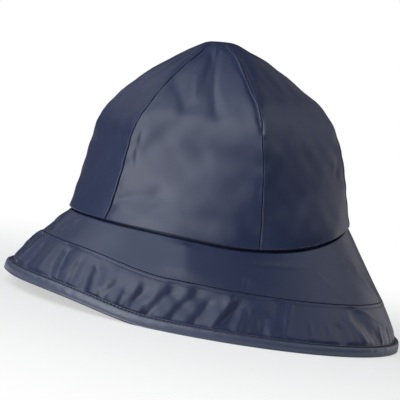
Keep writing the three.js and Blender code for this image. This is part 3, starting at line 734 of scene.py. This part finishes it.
def lower_points():
    crowded = 1 - np.cos(np.linspace(0, math.pi / 2, LOWER_ROWS))[:, None]
    even = np.linspace(0, 1, LOWER_ROWS)[:, None]
    share = crowded * ROW_CROWD + (1 - ROW_CROWD) * even
    share = BAND_GAP / BAND_WIDTH + share * (1 - BAND_TONGUE * BINDING_WIDTH / BAND_WIDTH)
    points = lower_face(brim_turn, share[::-1])
    _, seam, _, _, outward = brim_lines(brim_turn)
    turned_in = [points[-1] - outward * BAND_DEEP / 2, seam - outward * BAND_DEEP]
    return np.concatenate([points, np.stack(turned_in)])


lower_band = cloth_mesh("brim_lower_cloth", lower_points(), True)
lower_band.data.materials.append(brim_cloth)
lower_band.data.materials.append(backing)
thicken(lower_band, CLOTH)
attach(lower_band, "root")
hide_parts("brim_lower_band")

# Topstitching of the brim's middle seam. Thread of the cloth's own colour, one short stitch
# after another along a line just below the seam.
TOPSTITCH_LONG = 0.0023
TOPSTITCH_STEP = 0.0030
TOPSTITCH_THICK = 0.00017
RING = 6


def along_path(path, step):
    """Evenly spaced places, headings and steps along a closed path of points."""
    closed = np.concatenate([path, path[:1]])
    gone = np.concatenate([[0], np.cumsum(np.linalg.norm(np.diff(closed, axis=0), axis=1))])
    count = int(gone[-1] / step)
    middle = (np.arange(count) + 0.5) * gone[-1] / count
    spots = np.stack([np.interp(middle, gone, closed[:, k]) for k in range(3)], -1)
    ahead = np.stack([np.interp(middle + step / 4, gone, closed[:, k]) for k in range(3)], -1)
    return spots, unit(ahead - spots), middle / gone[-1]


def stitch_mesh(name, path, outward, step, long, thick):
    """One mesh of short threads, each bowed up out of the cloth between its two holes."""
    spots, heading, share = along_path(path, step)
    lengths = np.arange(len(path) + 1) / len(path)
    closed = np.concatenate([outward, outward[:1]])
    out = unit(np.stack([np.interp(share, lengths, closed[:, k]) for k in range(3)], -1))
    side = np.cross(heading, out)
    # from end to end of one stitch: how far along, how far out, and how thick
    reach = np.array([-1.0, -0.8, -0.35, 0.35, 0.8, 1.0])
    bow = np.array([-1.0, -0.1, 0.8, 0.8, -0.1, -1.0])
    girth = np.array([0.45, 0.95, 1.0, 1.0, 0.95, 0.45])
    angle = np.linspace(0, 2 * math.pi, RING, endpoint=False)
    spine = spots[:, None] + heading[:, None] * (reach * long / 2)[None, :, None]
    spine = spine + out[:, None] * (bow * thick)[None, :, None]
    round_side = side[:, None, None] * (np.cos(angle) * thick)[None, None, :, None]
    round_out = out[:, None, None] * (np.sin(angle) * thick)[None, None, :, None]
    points = spine[:, :, None] + (round_side + round_out) * girth[None, :, None, None]
    each = len(reach) * RING
    faces = []
    for row in range(len(reach) - 1):
        for k in range(RING):
            here, beside = row * RING + k, row * RING + (k + 1) % RING
            faces.append((here, beside, beside + RING, here + RING))
    first = np.arange(len(spots))[:, None, None] * each
    quads = (first + np.array(faces)[None]).reshape(-1, 4).tolist()
    caps = [list(range(RING))[::-1], [each - RING + k for k in range(RING)]]
    ends = [[start + k for k in cap] for start in range(0, len(spots) * each, each) for cap in caps]
    mesh = bpy.data.meshes.new(name)
    mesh.from_pydata(points.reshape(-1, 3).tolist(), [], quads + ends)
    mesh.polygons.foreach_set("use_smooth", np.ones(len(quads) + len(ends), bool))
    piece = bpy.data.objects.new(name, mesh)
    bpy.context.scene.collection.objects.link(piece)
    return piece


def thread(name, deep, pale):
    """Twisted thread: fine slanting strands in two near shades."""
    material = bpy.data.materials.new(name)
    material.use_nodes = True
    tree = material.node_tree
    surface = tree.nodes["Principled BSDF"]
    place = tree.nodes.new("ShaderNodeTexCoord")
    strands = tree.nodes.new("ShaderNodeTexWave")
    strands.bands_direction = "DIAGONAL"
    strands.inputs["Scale"].default_value = 900.0
    strands.inputs["Distortion"].default_value = 2.0
    tree.links.new(place.outputs["Object"], strands.inputs["Vector"])
    shades = tree.nodes.new("ShaderNodeMix")
    shades.data_type = "RGBA"
    shades.inputs["A"].default_value = (*deep, 1)
    shades.inputs["B"].default_value = (*pale, 1)
    tree.links.new(strands.outputs["Fac"], shades.inputs["Factor"])
    tree.links.new(shades.outputs["Result"], surface.inputs["Base Color"])
    relief = tree.nodes.new("ShaderNodeBump")
    relief.inputs["Strength"].default_value = 0.4
    relief.inputs["Distance"].default_value = 0.0001
    tree.links.new(strands.outputs["Fac"], relief.inputs["Height"])
    tree.links.new(relief.outputs["Normal"], surface.inputs["Normal"])
    surface.inputs["Roughness"].default_value = 0.55
    return material


topstitch_path = lower_face(brim_turn, np.array([[TOPSTITCH_OFF / BAND_WIDTH]]))[0]
topstitching = stitch_mesh(
    "brim_topstitching",
    topstitch_path,
    brim_lines(brim_turn)[4],
    TOPSTITCH_STEP,
    TOPSTITCH_LONG,
    TOPSTITCH_THICK,
)
topstitching.data.materials.append(thread("brim_thread", (0.03, 0.038, 0.075), (0.07, 0.08, 0.13)))
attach(topstitching, "root")

# Edge binding. A folded strip of the same coated cloth that closes the brim's edge. Its colour
# is lighter than the brim's: a painted highlight for the gloss of its face. It is puffy
# between its fold and one row of stitches, and its lip lies on the lower band.
BINDING_COLUMNS = 1500
BINDING_FOOT = 0.0016
BINDING_LOWEST = 0.0001
# The section from its lip down to the edge: how far up the cloth from the edge, how far out of
# the cloth's middle on the outside and on the inside, and how uneven it is there
BINDING_SECTION = (
    (0.0080, 0.0005, 0.0005, 0.0),
    (0.0080, 0.0010, 0.0010, 0.2),
    (0.0078, 0.0012, 0.0012, 0.4),
    (0.0076, 0.0011, 0.0011, 0.4),
    (0.0073, 0.0006, 0.0006, 0.0),
    (0.0071, 0.0006, 0.0006, 0.0),
    (0.0068, 0.0012, 0.0012, 0.2),
    (0.0064, 0.0017, 0.0017, 0.6),
    (0.0058, 0.0020, 0.0022, 1.0),
    (0.0050, 0.0020, 0.0025, 1.0),
    (0.0040, 0.0018, 0.0027, 1.0),
    (0.0030, 0.0014, 0.0028, 1.0),
    (0.0021, 0.0009, 0.0028, 0.8),
    (0.0012, 0.0002, 0.0026, 0.5),
    (0.0004, -0.0006, 0.0020, 0.2),
)
# The strip swells unevenly, and differently at each height of its section
BINDING_UNEVEN = 0.00016
BINDING_CLIMB = 90
STITCH_STEP = 0.0026
STITCH_LONG = 0.0021
STITCH_THICK = 0.00034
STITCH_UP = 0.0072
STITCH_OUT = 0.0008
# Between these heights the stitches pull the binding in between their holes
PUCKER_NEAR = (0.0053, 0.0080)
PUCKER_HIGH = 0.00010

binding_turn = np.linspace(0, 2 * math.pi, BINDING_COLUMNS, endpoint=False)


def binding_points():
    _, seam, edge, level, outward = brim_lines(binding_turn)
    up = unit(seam - edge)
    way = np.linalg.norm(np.diff(np.concatenate([edge, edge[:1]]), axis=0), axis=1)
    gone = np.concatenate([[0], np.cumsum(way)[:-1]])
    stitches = int(way.sum() / STITCH_STEP)
    pull = np.cos(2 * math.pi * stitches * gone / way.sum())
    sides = []
    for side, seed in ((1, 41), (-1, 42)):
        rows = []
        for along, outside, inside, uneven in BINDING_SECTION:
            out = outside if side > 0 else inside
            climb = along * BINDING_CLIMB
            swell = drift(binding_turn, climb, seed, 30, 110, 12) * uneven * 2
            swell = BINDING_UNEVEN * (swell + drift(binding_turn, climb, seed, 8, 25))
            swell = swell * min(1, uneven * 5)
            near = PUCKER_NEAR[0] < along < PUCKER_NEAR[1]
            swell = swell - near * PUCKER_HIGH * pull
            rows.append(edge + up * along + outward * (side * (out + swell))[:, None])
        sides.append(rows)
    foot = [edge - level * BINDING_FOOT * k for k in (0.25, 1)]
    points = np.stack([*sides[1], foot[1], foot[0], *reversed(sides[0])])
    points[..., 2] = np.maximum(points[..., 2], BINDING_LOWEST)
    return points


# Its two colours are lighter than the brim cloth's: a painted highlight for the gloss of the
# binding's face.
binding_cloth = coated_cloth(
    "binding_cloth",
    (0.042, 0.053, 0.098),
    (0.055, 0.067, 0.122),
    0.35,
    (0.33, 0.43),
)
binding_cloth.node_tree.nodes["Principled BSDF"].inputs["Specular IOR Level"].default_value = 0.8
binding = cloth_mesh("edge_binding_strip", binding_points(), True)
binding.data.materials.append(binding_cloth)
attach(binding, "root")
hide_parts("edge_binding")

# Stitches of the binding. One row of thread right through the binding and the brim, so it
# shows on the outside and on the inside. The thread is near black, darker than the cloth:
# partly its own colour, partly painted shade of the groove along the binding's lip.
# Near-black thread: its own dark colour plus painted shade of the groove it lies in.
thread_with_painted_shade = thread("binding_thread", (0.004, 0.005, 0.010), (0.012, 0.014, 0.024))
_, binding_seam, binding_edge, _, binding_out = brim_lines(binding_turn)
stitch_line = binding_edge + unit(binding_seam - binding_edge) * STITCH_UP
for name, side in (("binding_stitches_outside", 1), ("binding_stitches_inside", -1)):
    stitches = stitch_mesh(
        name,
        stitch_line + binding_out * side * STITCH_OUT,
        binding_out * side,
        STITCH_STEP,
        STITCH_LONG,
        STITCH_THICK,
    )
    stitches.data.materials.append(thread_with_painted_shade)
    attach(stitches, "root")

# Room. A pale floor that runs to white far away, a white sky behind, and ten soft boxes: the
# large ones stand in front on the wearer's left, over the brow and on top, and weaker ones
# light the side, the back and the wearer's right.
FLOOR_RADIUS = 12.0
BOX_AWAY = 3.0
BOX_TARGET = Vector((0, 0, 0.08))


def make_floor():
    mesh = bpy.data.meshes.new("floor")
    turns = np.linspace(0, 2 * math.pi, 96, endpoint=False)
    ring = [(FLOOR_RADIUS * math.cos(t), FLOOR_RADIUS * math.sin(t), 0.0) for t in turns]
    mesh.from_pydata(ring, [], [list(range(len(ring)))])
    floor = bpy.data.objects.new("floor", mesh)
    bpy.context.scene.collection.objects.link(floor)
    material = bpy.data.materials.new("floor_paint")
    material.use_nodes = True
    tree = material.node_tree
    surface = tree.nodes["Principled BSDF"]
    surface.inputs["Base Color"].default_value = (0.86, 0.86, 0.86, 1)
    surface.inputs["Roughness"].default_value = 0.9
    place = tree.nodes.new("ShaderNodeTexCoord")
    away = tree.nodes.new("ShaderNodeVectorMath")
    away.operation = "LENGTH"
    tree.links.new(place.outputs["Object"], away.inputs[0])
    fade = tree.nodes.new("ShaderNodeMapRange")
    fade.interpolation_type = "SMOOTHSTEP"
    fade.inputs["From Min"].default_value = 0.1
    fade.inputs["From Max"].default_value = 0.5
    fade.inputs["To Min"].default_value = 0.55
    tree.links.new(away.outputs["Value"], fade.inputs["Value"])
    rays = tree.nodes.new("ShaderNodeLightPath")
    seen = add_math(tree, "MULTIPLY", fade.outputs["Result"], rays.outputs["Is Camera Ray"])
    white = tree.nodes.new("ShaderNodeEmission")
    mix = tree.nodes.new("ShaderNodeMixShader")
    tree.links.new(seen, mix.inputs["Fac"])
    tree.links.new(surface.outputs["BSDF"], mix.inputs[1])
    tree.links.new(white.outputs["Emission"], mix.inputs[2])
    tree.links.new(mix.outputs["Shader"], tree.nodes["Material Output"].inputs["Surface"])
    floor.data.materials.append(material)
    return floor


def soft_box(name, turn, rise, width, height, power, colour):
    lamp = bpy.data.lights.new(name, "AREA")
    lamp.shape = "RECTANGLE"
    lamp.size = width
    lamp.size_y = height
    lamp.energy = power
    lamp.color = colour
    box = bpy.data.objects.new(name, lamp)
    bpy.context.scene.collection.objects.link(box)
    look_from(box, BOX_TARGET, BOX_AWAY, math.radians(turn), math.radians(rise))


make_floor()
soft_box("key_box", 22, 25, 3.2, 2.8, 54, (0.92, 0.97, 1.0))
soft_box("low_key_box", 30, 10, 2.4, 1.6, 20, (1.0, 1.0, 0.98))
soft_box("high_box", 50, 46, 2.4, 1.4, 11, (1.0, 1.0, 0.9))
soft_box("brow_box", -31, 40, 2.0, 2.0, 14, (0.94, 0.97, 1.0))
soft_box("top_box", 8, 64, 3.0, 2.4, 20, (0.84, 0.95, 1.0))
soft_box("side_box", 72, 30, 1.5, 1.5, 7, (1.0, 1.0, 1.0))
soft_box("back_box", 158, 38, 3.2, 1.6, 11, (0.9, 0.94, 1.0))
soft_box("low_back_box", 200, 9, 2.0, 1.4, 6, (1.0, 0.94, 1.0))
soft_box("far_box", 214, 33, 1.6, 1.2, 1.5, (1.0, 0.94, 0.94))
soft_box("left_box", -76, 24, 1.4, 1.2, 1.4, (0.94, 0.97, 1.0))

world = bpy.data.worlds.new("studio")
bpy.context.scene.world = world
world.use_nodes = True
sky = world.node_tree.nodes["Background"]
sky.inputs["Strength"].default_value = 1.0
rays = world.node_tree.nodes.new("ShaderNodeLightPath")
glow = world.node_tree.nodes.new("ShaderNodeMapRange")
glow.inputs["To Min"].default_value = 0.05
world.node_tree.links.new(rays.outputs["Is Camera Ray"], glow.inputs["Value"])
world.node_tree.links.new(glow.outputs["Result"], sky.inputs["Color"])
bpy.context.scene.view_settings.view_transform = "Standard"
